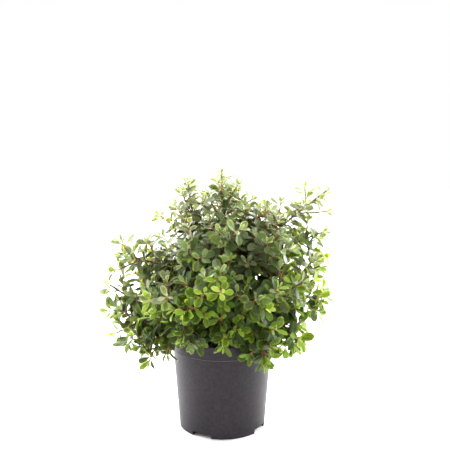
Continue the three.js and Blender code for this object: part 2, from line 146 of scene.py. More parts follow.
# Leaves of life size. A shoot's leaves stand closer towards its tip, where they are young, small and upright.
LEAF = {
    "length": 29, "length_sway": 5, "width": 0.49, "width_sway": 0.07, "middle": 0.55, "first_below": 0.5,
    "first_space": 0.8, "widening": 1.32, "youngest": 0.48, "growth_curve": 0.8, "full_rank": 6,
    "tip_tilt": 12, "rosette_tilt": 62, "base_tilt": 76, "base_rank": 14, "tilt_sway": 13, "least_tilt": 6,
    "turn_sway": 14, "to_light": 0.55, "pot_clearance": 1.2, "narrowest": 0.72, "roll_sway": 24,
    "bend": 22, "bend_sway": 20, "fold": 0.4, "fold_sway": 0.24, "low_size": 1.1, "high_size": 0.74,
    "low": 210, "high": 420, "own_reach": 0.5,
}
BLADE = {
    "rows": 10, "widest": 0.6, "wedge": 1.15, "stalk": 0.17, "stalk_width": 0.085, "tooth": 0.012,
    "rib": 0.028, "rib_taper": 1.5, "rib_most": 0.3, "margin": 0.85, "thickness": 0.28, "cup": 0.08,
    "sharp_from": 60,
}
CROWN = {
    "middle_height": 285, "wide": 195, "tall": 175, "hem": 190, "thin_from": 375, "thin_over": 50,
    "short_high": 0.5,
}


# Numbers by chance, the same as the solids draw

WORD = 2**32
FIRST_MIXER = 0x9E3779B1
SECOND_MIXER = 0x85EBCA77


def chance(*keys):
    """A number from 0 to 1 that depends only on the keys."""
    mix = SEED
    for key in keys:
        mix = (mix ^ key) * FIRST_MIXER % WORD
        mix ^= mix >> 15
        mix = mix * SECOND_MIXER % WORD
        mix ^= mix >> 13
    return mix / WORD


def sway(*keys):
    """A number from -1 to 1 that depends only on the keys."""
    return 2 * chance(*keys) - 1


def lerp(low, high, share):
    return low + (high - low) * share


# Places, directions and limbs


def place(bearing, reach, height):
    angle = math.radians(bearing)
    return Vector((reach * math.cos(angle), reach * math.sin(angle), height))


class Limb:
    """A limb leaves its start in one direction and bends to its end."""

    nearly_upright = 0.05

    def __init__(self, start, heading, outward, end, twist=0):
        self.start = start.copy()
        self.end = end.copy()
        self.control = start + heading * outward * (end - start).length
        side = heading.cross(UP)
        if side.length < self.nearly_upright:
            side = Vector((1, 0, 0))
        self.side = Matrix.Rotation(math.radians(twist), 3, heading) @ side

    def point_at(self, share):
        rest = 1 - share
        return self.start * rest * rest + self.control * 2 * rest * share + self.end * share * share

    def direction_at(self, share):
        return ((self.control - self.start) * (1 - share) + (self.end - self.control) * share).normalized()

    def length(self, pieces=12):
        points = [self.point_at(i / pieces) for i in range(pieces + 1)]
        return sum((b - a).length for a, b in zip(points, points[1:]))

    def heading_at(self, share, turn, tilt):
        """A direction tilted away from the limb and turned round it."""
        along = self.direction_at(share)
        side = (self.side - along * self.side.dot(along)).normalized()
        over = side.cross(along)
        turn, tilt = math.radians(turn), math.radians(tilt)
        across = side * math.cos(turn) + over * math.sin(turn)
        return along * math.cos(tilt) + across * math.sin(tilt)


# The skeleton of the plant, by the rule of the solids

COMPOST_TOP = POT["height"] - COMPOST["below_rim"]
TRUNK_FOOT = Vector((0, 0, COMPOST_TOP + GAP))
TRUNK_TOP = Vector((TRUNK["lean_x"], TRUNK["lean_y"], TRUNK_FOOT.z + TRUNK["height"]))
trunk = Limb(TRUNK_FOOT, UP, TRUNK["outward"], TRUNK_TOP)


def trunk_flare(share):
    return math.exp(-share * TRUNK["height"] / TRUNK["flare_height"])


def trunk_radius(share):
    return lerp(TRUNK["radius"], TRUNK["tip_radius"], share) + TRUNK["flare"] * trunk_flare(share)


def mirrored(spot, *keys):
    bearing, reach, height = spot
    return (
        -bearing + BEHIND["bearing_sway"] * sway(*keys, DRAW["bearing"]),
        reach * BEHIND["wider"],
        height + BEHIND["higher"] + BEHIND["height_sway"] * sway(*keys, DRAW["height"]),
    )


def ends_of(name, rank):
    """The tip of a bough and the ends of its stems."""
    if not isinstance(BOUGHS[name], str):
        return BOUGHS[name]
    tip, ends = BOUGHS[BOUGHS[name]]
    return mirrored(tip, rank), [mirrored(spot, rank, k) for k, spot in enumerate(ends)]


def bough_limb(tip, rank):
    end = place(*tip)
    last = len(BOUGHS) - 1
    if rank == last:
        onward = trunk.direction_at(1)
        return Limb(trunk.point_at(1) + onward * GAP, onward, BOUGH["outward"], end)
    share = lerp(TRUNK["lowest_fork"], TRUNK["highest_fork"], rank / (last - 1)) / TRUNK["height"]
    along = trunk.direction_at(share)
    outward = place(tip[0], 1, 0)
    outward = (outward - along * outward.dot(along)).normalized()
    widest = trunk_radius(share - BOUGH["radius"] / TRUNK["height"])
    return Limb(trunk.point_at(share) + outward * (widest + GAP), outward, BOUGH["outward"], end)


def stem_limbs(bough, ends):
    """The stems of a bough leave its tip evenly spread round it, each on the side that it ends on."""
    tip = bough.point_at(1)
    side = bough.heading_at(1, 0, 90)
    over = bough.heading_at(1, 90, 90)
    turns = [math.degrees(math.atan2((end - tip).dot(over), (end - tip).dot(side))) for end in ends]
    order = sorted(range(len(ends)), key=lambda i: turns[i])
    step = 360 / len(ends)
    first = sum(turns[i] - rank * step for rank, i in enumerate(order)) / len(ends)
    above = GAP + STEM["radius"] * math.sin(math.radians(STEM["fan"]))
    stems = []
    for i, end in enumerate(ends):
        turn = first + order.index(i) * step
        start = tip + bough.direction_at(1) * above + bough.heading_at(1, turn, 90) * STEM["ring"]
        solid = Limb(start, bough.heading_at(1, turn, STEM["fan"]), STEM["outward"], end, turn)
        stems.append(grown_on(solid, STEM["reach"]))
    return stems


def size_at(height):
    """How large leaves grow at a height: the low ones are the largest."""
    share = (height - LEAF["low"]) / (LEAF["high"] - LEAF["low"])
    return lerp(LEAF["low_size"], LEAF["high_size"], min(max(share, 0), 1))


def grown_on(limb, reach):
    """The limb with its end carried on, so that its leaves reach as far as those of the solids."""
    own_reach = LEAF["own_reach"] * LEAF["length"] * size_at(limb.end.z)
    limb.end = limb.end + limb.direction_at(1) * max(reach - own_reach, 0)
    return limb


def grow_boughs():
    boughs = []
    for rank, name in enumerate(BOUGHS):
        tip, ends = ends_of(name, rank)
        limb = bough_limb(tip, rank)
        boughs.append((name, limb, stem_limbs(limb, [place(*spot) for spot in ends])))
    return boughs


def thinness_at(height):
    """0 in the body of the crown, rising to 1 where only its highest shoots stand."""
    return min(max((height - CROWN["thin_from"]) / CROWN["thin_over"], 0), 1)


def twig_limb(stem, index, k, rule):
    keys = (index, k + rule["key"])
    rank = (k + LOOSENESS * chance(*keys, DRAW["twig_place"])) / rule["count"]
    at = lerp(rule["first"], rule["last"], rank)
    tilt = rule["tilt"] + rule["tilt_sway"] * sway(*keys, DRAW["twig_tilt"])
    heading = stem.heading_at(at, STEM["turn"] * k + rule["first_turn"], tilt)
    wanted = stem.length() * (rule["share"] - rule["share_lost"] * at)
    wanted *= 1 + rule["length_sway"] * sway(*keys, DRAW["twig_length"])
    start = stem.point_at(at)
    length = min(max(wanted, rule["shortest"]), rule["longest"])
    length *= 1 - CROWN["short_high"] * thinness_at(start.z)
    lift = rule["lift"] + rule["high_lift"] * min(max((start.z - CROWN["hem"]) / CROWN["tall"], 0), 1)
    end = start + heading * length + UP * lift * length
    solid = Limb(start, heading, rule["outward"], end, 360 * chance(*keys, DRAW["twig_twist"]))
    return grown_on(solid, rule["reach"])


# Meshes from arrays


def add_object(name, data):
    thing = bpy.data.objects.new(name, data)
    bpy.context.scene.collection.objects.link(thing)
    return thing


def add_mesh(name, points, faces, materials, slots=None, smooth=True):
    """A mesh object from points in millimetres and a list of face arrays, one for each count of corners."""
    mesh = bpy.data.meshes.new(name)
    points = np.asarray(points, float) * MM
    mesh.vertices.add(len(points))
    mesh.vertices.foreach_set("co", points.astype(np.float32).ravel())
    counts = np.concatenate([np.full(len(group), group.shape[1]) for group in faces])
    corners = np.concatenate([group.ravel() for group in faces])
    mesh.loops.add(len(corners))
    mesh.loops.foreach_set("vertex_index", corners.astype(np.int32))
    mesh.polygons.add(len(counts))
    mesh.polygons.foreach_set("loop_start", (np.cumsum(counts) - counts).astype(np.int32))
    for material in materials:
        mesh.materials.append(material)
    if slots is not None:
        mesh.polygons.foreach_set("material_index", np.asarray(slots, np.int32))
    mesh.polygons.foreach_set("use_smooth", np.full(len(counts), smooth))
    mesh.update(calc_edges=True)
    mesh.validate()
    return add_object(name, mesh)


def finish_piece(piece, slot, *nodes):
    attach(piece, "root")
    if nodes:
        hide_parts(*nodes)


class Gathered:
    """Points and faces of many small parts, to be joined into one mesh."""

    def __init__(self):
        self.points = []
        self.quads = []
        self.slots = []
        self.rounds = []
        self.count = 0

    def add(self, points, quads, caps=(), slots=None):
        self.points.append(points)
        self.quads.append(quads + self.count)
        self.slots.append(np.zeros(len(quads), int) if slots is None else slots)
        self.rounds.extend(np.asarray(cap) + self.count for cap in caps)
        self.count += len(points)

    def build(self, name, *materials):
        """One mesh. The quads have their own slots, and the end faces the last of the materials."""
        groups = [np.concatenate(self.quads)]
        for size in sorted({len(cap) for cap in self.rounds}):
            groups.append(np.array([cap for cap in self.rounds if len(cap) == size]))
        slots = np.concatenate(self.slots + [np.full(len(self.rounds), len(materials) - 1)])
        return add_mesh(name, np.concatenate(self.points), groups, materials, slots)


def ring_quads(rings, sides):
    """Quads between each ring of points and the next."""
    low = np.arange(rings - 1)[:, None] * sides + np.arange(sides)[None, :]
    high = np.arange(rings - 1)[:, None] * sides + (np.arange(sides)[None, :] + 1) % sides
    return np.stack([low, high, high + sides, low + sides], axis=-1).reshape(-1, 4)


def fan(middle, start, sides, forward):
    """Triangles from a middle point to a ring of points, in its order or against it."""
    around = start + np.arange(sides)
    after = start + (np.arange(sides) + 1) % sides
    ring = (around, after) if forward else (after, around)
    return np.stack([np.full(sides, middle), *ring], axis=1)


def tube(limb, radius_at, sizes):
    """A closed tube along a limb, sunk into what bears it by a share of its length.

    radius_at gives the radius for a share of the length, a turn and a point of the bark.
    """
    sides, steps = sizes["sides"], sizes["steps"]
    points = []
    for i in range(steps + 1):
        share = lerp(-sizes["sunk"], 1, i / steps)
        middle = limb.point_at(max(share, 0)) + limb.direction_at(0) * min(share, 0) * limb.length()
        for k in range(sides):
            turn = 360 * k / sides
            outward = limb.heading_at(max(share, 0), turn, 90)
            points.append(middle + outward * radius_at(share, turn, middle + outward * BARK["read_at"]))
    caps = [list(range(sides)), list(range(steps * sides, (steps + 1) * sides))[::-1]]
    return np.array(points), ring_quads(steps + 1, sides)[:, ::-1], caps


# Materials

# Base colours in linear light: each pair runs from a material's darkest spots to its lightest
COLOURS = {
    "pot_plastic": ((0.0116, 0.0094, 0.0117), (0.0197, 0.016, 0.0198)),
    # The moulded line's paler plastic is a painted highlight, where its rounded edge catches the light
    "pot_bead_painted_highlight": ((0.058, 0.05, 0.061), (0.085, 0.075, 0.089)),
    "compost_body": ((0.012, 0.008, 0.0055), (0.04, 0.026, 0.017)),
    "crumbs_dark": ((0.01, 0.0065, 0.0045), (0.034, 0.022, 0.014)),
    "crumbs_bark": ((0.045, 0.026, 0.015), (0.13, 0.08, 0.045)),
    "bark": ((0.05, 0.032, 0.022), (0.16, 0.105, 0.07)),
    "stem_bark": ((0.07, 0.035, 0.021), (0.18, 0.085, 0.045)),
    "twig_bark": ((0.1, 0.04, 0.021), (0.23, 0.09, 0.04)),
    "new_bark": ((0.24, 0.08, 0.028), (0.42, 0.16, 0.05)),
    "olive_bark": ((0.085, 0.06, 0.025), (0.19, 0.14, 0.055)),
    "olive_new_bark": ((0.17, 0.15, 0.04), (0.3, 0.27, 0.08)),
}
BARK_ROUGHNESS = {
    "bark": 0.85, "stem_bark": 0.7, "twig_bark": 0.6, "new_bark": 0.55, "olive_bark": 0.6,
    "olive_new_bark": 0.55,
}
# Where the noise gives the darkest colour and the lightest
RAMP = (0.35, 0.65)
BARK_STRETCH = (1, 1, 0.22)
# How much darker and lighter the spots on a leaf are
MOTTLE = 0.14


def new_material(name, colour, roughness, **inputs):
    """A material with a Principled shader. More of its inputs are named with underscores."""
    material = bpy.data.materials.new(name)
    material.use_nodes = True
    shader_input(material, "Base Color").default_value = (*colour, 1)
    shader_input(material, "Roughness").default_value = roughness
    for label, value in inputs.items():
        shader_input(material, label.replace("_", " ")).default_value = value
    return material


def add_node(material, kind):
    return material.node_tree.nodes.new(kind)


def shader_input(material, label):
    return material.node_tree.nodes["Principled BSDF"].inputs[label]


def connect(material, output, target):
    material.node_tree.links.new(output, target)


def object_noise(material, scale, detail, stretch=(1, 1, 1)):
    """Noise fixed to the object's own coordinates."""
    place_node = add_node(material, "ShaderNodeTexCoord")
    mapping = add_node(material, "ShaderNodeMapping")
    mapping.inputs["Scale"].default_value = stretch
    texture = add_node(material, "ShaderNodeTexNoise")
    texture.inputs["Scale"].default_value = scale
    texture.inputs["Detail"].default_value = detail
    connect(material, place_node.outputs["Object"], mapping.inputs["Vector"])
    connect(material, mapping.outputs["Vector"], texture.inputs["Vector"])
    return texture.outputs["Fac"]


def vary_colour(material, factor, low, high):
    """The base colour runs from low to high with the factor."""
    ramp = add_node(material, "ShaderNodeValToRGB")
    for element, position, colour in zip(ramp.color_ramp.elements, RAMP, (low, high)):
        element.position = position
        element.color = (*colour, 1)
    connect(material, factor, ramp.inputs["Fac"])
    connect(material, ramp.outputs["Color"], shader_input(material, "Base Color"))


def vary_roughness(material, factor, low, high):
    spread = add_node(material, "ShaderNodeMapRange")
    spread.inputs["To Min"].default_value = low
    spread.inputs["To Max"].default_value = high
    connect(material, factor, spread.inputs["Value"])
    connect(material, spread.outputs["Result"], shader_input(material, "Roughness"))


def add_bump(material, factor, strength, distance):
    bump = add_node(material, "ShaderNodeBump")
    bump.inputs["Strength"].default_value = strength
    bump.inputs["Distance"].default_value = distance
    connect(material, factor, bump.inputs["Height"])
    connect(material, bump.outputs["Normal"], shader_input(material, "Normal"))


def scaled(colour, factor):
    return tuple(min(channel * factor, 1) for channel in colour)


def plastic_material(name):
    dark, light = COLOURS[name]
    gloss = {"Specular_Tint": (1, 0.94, 1, 1), "Specular_IOR_Level": 0.26}
    material = new_material(name, dark, roughness=0.34, **gloss)
    vary_colour(material, object_noise(material, scale=190, detail=4), dark, light)
    vary_roughness(material, object_noise(material, scale=60, detail=3), low=0.4, high=0.52)
    add_bump(material, object_noise(material, scale=1400, detail=2), strength=0.12, distance=0.0002)
    return material


def compost_material(name):
    dark, light = COLOURS[name]
    material = new_material(name, dark, roughness=0.95)
    vary_colour(material, object_noise(material, scale=220, detail=5), dark, light)
    add_bump(material, object_noise(material, scale=900, detail=4), strength=0.6, distance=0.001)
    return material


def bark_material(name):
    dark, light = COLOURS[name]
    material = new_material(name, dark, BARK_ROUGHNESS[name])
    grain = object_noise(material, scale=420, detail=4, stretch=BARK_STRETCH)
    vary_colour(material, grain, dark, light)
    add_bump(material, grain, strength=0.45, distance=0.0006)
    return material


def leaf_material(name, colour, roughness, gloss):
    """A leaf lets some of the light through."""
    material = new_material(
        name, colour, roughness, Specular_IOR_Level=gloss,
        Subsurface_Weight=0.7, Subsurface_Radius=(1, 1, 0.5), Subsurface_Scale=0.0012,
    )
    mottling = object_noise(material, scale=130, detail=3)
    vary_colour(material, mottling, scaled(colour, 1 - MOTTLE), scaled(colour, 1 + MOTTLE))
    add_bump(material, object_noise(material, scale=700, detail=2), strength=0.18, distance=0.0004)
    return material


# Each kind of leaf: the base colour of its upper side, its roughness and its gloss
# The older and deeper kinds also stand for painted shade inside and low in the crown, the younger kinds
# partly for painted light at its top and sides
TONES = {
    "young": ((0.24, 0.34, 0.045), 0.42, 0.2),
    "fresh": ((0.13, 0.24, 0.018), 0.38, 0.2),
    "mid": ((0.06, 0.12, 0.008), 0.36, 0.18),
    "mature": ((0.027, 0.052, 0.0055), 0.34, 0.18),
    "deep": ((0.017, 0.031, 0.0037), 0.36, 0.15),
    # The cool_ and pale_ kinds are a painted sheen: bluer and paler colours standing in for glare and the
    # reflection of the white surroundings
    "cool_young": ((0.19, 0.25, 0.105), 0.42, 0.25),
    "cool_fresh": ((0.105, 0.172, 0.046), 0.36, 0.3),
    "cool_mid": ((0.066, 0.113, 0.026), 0.3, 0.32),
    "cool_mature": ((0.042, 0.072, 0.0165), 0.3, 0.32),
    "cool_deep": ((0.031, 0.048, 0.0115), 0.34, 0.25),
    "pale_young": ((0.22, 0.262, 0.165), 0.42, 0.3),
    "pale_fresh": ((0.16, 0.202, 0.108), 0.36, 0.4),
    "pale_mid": ((0.128, 0.165, 0.072), 0.32, 0.45),
    "pale_mature": ((0.1, 0.128, 0.053), 0.32, 0.45),
    "pale_deep": ((0.078, 0.1, 0.038), 0.34, 0.3),
}
# A leaf's paler parts: how many times the colour of its upper side, and how much more
PALER = {
    "rib": (1.35, (0.035, 0.035, 0.017)),
    "margin": (1.0, (0.002, 0.002, 0.001)),
    "under": (1.3, (0.055, 0.055, 0.035)),
}
PALER_ROUGHER = 0.12
# The red stalks, and the olive ones of the crown's right side, where twigs are olive too
STALKS = (((0.3, 0.075, 0.03), 0.5, 0.4), ((0.2, 0.17, 0.05), 0.5, 0.4))
OLIVE_FROM = 107
TWIG_BARKS = ("twig_bark", "new_bark", "olive_bark", "olive_new_bark")


# The pot

BAND_FOOT = POT["height"] - POT["band_height"]


def outer_profile():
    """The pot's outside as radius and height, from the middle of its underside up to its rim."""
    band_radius = POT["rim"] - POT["band_proud"]
    wall_top = band_radius - POT["band_proud"]
    edge = POT["foot_round"]
    points = [(0.0, 0.0)]
    for i in range(POT["foot_steps"] + 1):
        angle = math.radians(90 * i / POT["foot_steps"] - 90)
        points.append((POT["foot"] - edge + edge * math.cos(angle), edge * (1 + math.sin(angle))))
    for i in range(1, POT["wall_steps"]):
        share = i / POT["wall_steps"]
        points.append((lerp(POT["foot"], wall_top, share), lerp(edge, BAND_FOOT, share)))
    bead_radius = band_radius + BEAD["proud"]
    bead_top = BAND_FOOT + BEAD["height"]
    points += [(wall_top, BAND_FOOT - BEAD["hollow"]), (band_radius - BEAD["hollow"], BAND_FOOT)]
    points += [(bead_radius, BAND_FOOT + BEAD["bevel"]), (bead_radius, bead_top - BEAD["bevel"])]
    points.append((band_radius, bead_top))
    band_top = POT["height"] - POT["rim_height"]
    for i in range(1, POT["band_steps"] + 1):
        share = i / POT["band_steps"]
        points.append((lerp(band_radius, POT["rim"], share), lerp(bead_top, band_top, share)))
    bevel = POT["rim_bevel"]
    curve = POT["bevel_curve"] * bevel
    points += [(POT["rim"], POT["height"] - bevel), (POT["rim"] - curve, POT["height"] - curve)]
    points.append((POT["rim"] - bevel, POT["height"]))
    return points


def inner_radius(height):
    """The radius of the wall's inside at a height."""
    wall_top = POT["rim"] - 2 * POT["band_proud"]
    return lerp(POT["foot"], wall_top, height / BAND_FOOT) - POT["wall"]


def inner_profile():
    """The pot's inside as radius and height, from its rim down to the middle of its floor."""
    lip_edge = POT["rim"] - POT["lip"]
    return [
        (lip_edge + POT["lip_round"], POT["height"]),
        (lip_edge, POT["height"] - POT["lip_round"]),
        (inner_radius(BAND_FOOT), POT["height"] - POT["lip_depth"]),
        (inner_radius(BAND_FOOT), BAND_FOOT),
        (inner_radius(POT["floor"]), POT["floor"]),
        (0.0, POT["floor"]),
    ]


def lathe(name, profile, sides, material):
    """A solid turned about the pot's axis. The profile starts and ends on the axis."""
    turns = np.radians(np.arange(sides) * 360 / sides)
    inner = profile[1:-1]
    points = [(0, 0, profile[0][1])]
    for radius, height in inner:
        points.extend((radius * math.cos(turn), radius * math.sin(turn), height) for turn in turns)
    points.append((0, 0, profile[-1][1]))
    quads = ring_quads(len(inner), sides) + 1
    start = 1 + (len(inner) - 1) * sides
    ends = np.concatenate([fan(0, 1, sides, False), fan(start + sides, start, sides, True)])
    return add_mesh(name, points, [quads, ends], [material])


def add_turned(name, points, faces, bearing):
    """A tool for the pot, turned about its axis to a bearing."""
    turn = np.array(Matrix.Rotation(math.radians(bearing), 3, "Z"))
    return add_mesh(name, points @ turn.T, faces, [])


def add_box(name, low, high, bearing):
    corners = list(product(*zip(low, high)))
    sides = [(0, 1, 3, 2), (4, 6, 7, 5), (0, 4, 5, 1), (2, 3, 7, 6), (0, 2, 6, 4), (1, 5, 7, 3)]
    return add_turned(name, np.array(corners), [np.array(sides)], bearing)


def add_post(name, radius, low, high, reach, bearing):
    sides = DRAIN["hole_sides"]
    turns = np.radians(np.arange(sides) * 360 / sides)
    around = np.stack([reach + radius * np.cos(turns), radius * np.sin(turns)], axis=1)
    points = np.concatenate([np.c_[around, np.full(sides, low)], np.c_[around, np.full(sides, high)]])
    caps = np.array([np.arange(sides)[::-1], np.arange(sides, 2 * sides)])
    return add_turned(name, points, [ring_quads(2, sides), caps], bearing)


def combine(piece, tool, operation):
    """Joins or cuts the piece with a tool, which is then removed."""
    modifier = piece.modifiers.new("combine", "BOOLEAN")
    modifier.operation = operation
    modifier.solver = "EXACT"
    modifier.object = tool
    graph = bpy.context.evaluated_depsgraph_get()
    result = bpy.data.meshes.new_from_object(piece.evaluated_get(graph))
    piece.modifiers.clear()
    old = piece.data
    piece.data = result
    bpy.data.meshes.remove(old)
    bpy.data.objects.remove(tool)


def mark_bead(shell):
    """The moulded line at the foot of the band is painted paler than the wall, a painted highlight where its
    rounded edge catches the light.
    """
    shell.data.materials.append(plastic_material("pot_bead_painted_highlight"))
    outside = POT["rim"] - POT["wall"] - POT["band_proud"]
    for face in shell.data.polygons:
        spot = face.center / MM
        at_bead = BAND_FOOT - BEAD["slack"] < spot.z < BAND_FOOT + BEAD["height"]
        if at_bead and math.hypot(spot.x, spot.y) > outside:
            face.material_index = 1


def make_pot():
    """The pot, with a pocket and a drain hole over each notch in its foot."""
    profile = outer_profile() + inner_profile()
    shell = lathe("pot_shell", profile, POT["sides"], plastic_material("pot_plastic"))
    reach = POT["foot"] - DRAIN["depth"]
    half = DRAIN["width"] / 2
    wall = POT["wall"]
    for i in range(DRAIN["count"]):
        bearing = DRAIN["first_bearing"] + 360 / DRAIN["count"] * i
        low = (reach - wall, -half - wall, DRAIN["pocket_foot"])
        high = (POT["foot"] - DRAIN["pocket_inset"], half + wall, DRAIN["height"] + wall)
        combine(shell, add_box("pocket", low, high, bearing), "UNION")
        low = (reach, -half, -DRAIN["height"])
        high = (POT["foot"] + DRAIN["depth"], half, DRAIN["height"])
        combine(shell, add_box("notch", low, high, bearing), "DIFFERENCE")
        middle = POT["foot"] - DRAIN["depth"] / 2
        top = 2 * DRAIN["height"]
        hole = add_post("hole", DRAIN["hole_radius"], DRAIN["hole_foot"], top, middle, bearing)
        combine(shell, hole, "DIFFERENCE")
    shell.data.set_sharp_from_angle(angle=math.radians(POT["sharp_from"]))
    mark_bead(shell)
    finish_piece(shell, "pot", "pot")


# The compost


def compost_height(x, y):
    """Height of the loose surface, which falls a little towards the pot's wall."""
    reach = math.hypot(x, y)
    slope = max(0, reach - COMPOST["flat_radius"]) / (inner_radius(COMPOST_TOP) - COMPOST["flat_radius"])
    spot = Vector((x, y, COMPOST["lump_level"])) * COMPOST["lump_scale"]
    lumps = noise.fractal(spot, COMPOST["lump_fade"], COMPOST["lump_finer"], COMPOST["lump_octaves"])
    level = COMPOST_TOP - COMPOST["edge_drop"] * slope
    return level + COMPOST["lump_height"] * lumps - COMPOST["lump_sink"]


def make_compost():
    """The compost's body and its lumpy surface, one closed piece, with crumbs strewn over it."""
    rings, sides = COMPOST["rings"], COMPOST["sides"]
    edge = inner_radius(COMPOST_TOP) - 2 * GAP
    points = []
    for i in range(1, rings + 1):
        reach = edge * i / rings
        for k in range(sides):
            spot = place(360 * k / sides, reach, 0)
            points.append((spot.x, spot.y, compost_height(spot.x, spot.y)))
    neck = POT["height"] - COMPOST["neck"]
    under = ((inner_radius(neck) - 2 * GAP, neck), *COMPOST_FOOT)
    for radius, height in under:
        points.extend(tuple(place(360 * k / sides, radius, height)) for k in range(sides))
    points += [(0, 0, compost_height(0, 0)), (0, 0, COMPOST_FOOT[-1][1])]
    quads = ring_quads(rings + len(under), sides)[:, ::-1]
    last = (rings + len(under) - 1) * sides
    ends = np.concatenate([fan(len(points) - 2, 0, sides, True), fan(len(points) - 1, last, sides, False)])
    body = add_mesh("compost_surface", points, [quads, ends], [compost_material("compost_body")])
    finish_piece(body, "compost", "compost")
    make_crumbs(edge)


def make_crumbs(edge):
    """Crumbs of compost and bits of bark, as small rough lumps half sunk in the surface."""
    draw = np.random.default_rng(SEED)
    golden = (1 + math.sqrt(5)) / 2
    corners = [(-1, golden, 0), (1, golden, 0), (-1, -golden, 0), (1, -golden, 0)]
    corners = np.array([c[i:] + c[:i] for i in range(3) for c in corners]) / math.hypot(1, golden)
    faces = icosahedron_faces(corners)
    kinds = {name: [] for name in CRUMB_STRETCH}
    for _ in range(CRUMBS["count"]):
        reach = edge * CRUMBS["spread"] * math.sqrt(draw.random())
        angle = draw.random() * math.tau
        x, y = reach * math.cos(angle), reach * math.sin(angle)
        size = CRUMBS["smallest"] + CRUMBS["size_sway"] * draw.random() ** CRUMBS["size_curve"]
        kind = "crumbs_bark" if draw.random() < CRUMBS["bark_share"] else "crumbs_dark"
        reaches = CRUMBS["shortest"] + CRUMBS["corner_sway"] * draw.random((len(corners), 1))
        lump = corners * reaches * size * np.array(CRUMB_STRETCH[kind])
        spin = Matrix.Rotation(draw.random() * math.tau, 3, "Z")
        turn = np.array(spin @ Matrix.Rotation(draw.random() - CRUMBS["tilt"], 3, "X"))
        kinds[kind].append(lump @ turn.T + (x, y, compost_height(x, y) + CRUMBS["lift"] * size))
    for name, lumps in kinds.items():
        every = np.concatenate([faces + len(corners) * i for i in range(len(lumps))])
        crumbs = add_mesh(name, np.concatenate(lumps), [every], [compost_material(name)], smooth=False)
        finish_piece(crumbs, "compost")


def icosahedron_faces(corners):
    """The triangles of an icosahedron: each three corners that are an edge apart."""
    slack = 1.01
    edge = min(np.linalg.norm(corners[0] - other) for other in corners[1:]) * slack
    near = np.linalg.norm(corners[:, None] - corners[None], axis=2) < edge
    faces = []
    for a, b, c in combinations(range(len(corners)), 3):
        if near[a, b] and near[b, c] and near[a, c]:
            out = np.dot(np.cross(corners[b] - corners[a], corners[c] - corners[a]), corners[a])
            faces.append((a, b, c) if out > 0 else (a, c, b))
    return np.array(faces)


# The wood


def bark_relief(point, depth):
    """Long fissures and small knobs on the bark, as a change of radius."""
    stretched = Vector((point.x, point.y, point.z * BARK["stretch"]))
    fissures = abs(noise.noise(stretched * BARK["fissure_scale"])) - BARK["fissure_level"]
    knobs = noise.noise(point * BARK["knob_scale"])
    return depth * (fissures + BARK["knob_share"] * knobs)


def trunk_surface(share, turn, point):
    lobes = 1 + TRUNK["lobe_depth"] * trunk_flare(share) * math.cos(TRUNK["lobes"] * math.radians(turn))
    return trunk_radius(share) * lobes + bark_relief(point, TRUNK["relief"])


def bough_surface(share, turn, point):
    """A bough's foot swells where it leaves the trunk."""
    collar = BOUGH["collar"] * math.exp(-max(share, 0) * BOUGH["collar_fade"])
    taper = lerp(BOUGH["radius"], BOUGH["tip_radius"], share)
    return taper + collar + bark_relief(point, BOUGH["relief"])


def make_wood(boughs):
    """The trunk and boughs in one piece, with the bark's relief."""
    wood = Gathered()
    wood.add(*tube(trunk, trunk_surface, TRUNK))
    for _, limb, _ in boughs:
        wood.add(*tube(limb, bough_surface, BOUGH))
    names = ["trunk"] + [f"bough_{name}" for name, _, _ in boughs]
    finish_piece(wood.build("trunk_and_boughs", bark_material("bark")), "bark", *names)


def shoot_radius(sizes, knuckles):
    """A taper with slight swellings, as where leaves have stood."""

    def radius_at(share, turn, point):
        swelling = 1 + KNUCKLE_SWELLING * math.cos(math.tau * share * knuckles)
        return lerp(sizes["radius"], sizes["tip_radius"], max(share, 0)) * swelling

    return radius_at


# The leaves

# How much of a leaf's light comes from above, and how much from out of the crown, less so in height
SKY = {"up": 0.75, "outward": 0.65, "flattened": 0.6}


def light_direction(point):
    """Where the light comes from for a leaf: up, and out of the crown."""
    outward = Vector((point.x, point.y, SKY["flattened"] * (point.z - CROWN["middle_height"])))
    if outward.length > 0:
        outward.normalize()
    return (UP * SKY["up"] + outward * SKY["outward"]).normalized()


def exposure(point):
    """How far out in the crown a point lies: 0 at its middle and about 1 at its outline."""
    height = (point.z - CROWN["middle_height"]) / CROWN["tall"]
    return math.sqrt((point.x**2 + point.y**2) / CROWN["wide"] ** 2 + height**2)


def outside_pot(point):
    clear = LEAF["pot_clearance"]
    return point.z > POT["height"] + clear or math.hypot(point.x, point.y) > POT["rim"] + clear


# What each thing adds to a leaf's age and painted shade, and the tone up to each amount. Rank below the tip
# and chance are real age; lying inward and low in the crown add painted shade; the top, partly younger
# growth, and the sides take it away as painted light
AGE_AND_SHADE = {
    "rank": 0.125, "inward": 0.55, "spray": 0.26, "own": 0.2, "start": -0.1, "up": 0.4, "down": 0.6,
    "aside": 0.32,
}
TONE_LIMITS = (("young", 0.17), ("fresh", 0.43), ("mid", 0.7), ("mature", 1.0))
# What each thing adds to a leaf's painted sheen, a paler and bluer colour standing in for glare and the
# reflection of the white surroundings at the crown's top and left, and the looks from each amount of it
PAINTED_SHEEN = {"up": 0.9, "left": 0.8, "aside": 0.15}
PAINTED_SHEEN_LIMITS = (("pale_", 0.6), ("cool_", 0.05))
# How far out in the crown the light begins to fail, and where it is gone
SHADE = {"light": 0.95, "dark": 0.45}


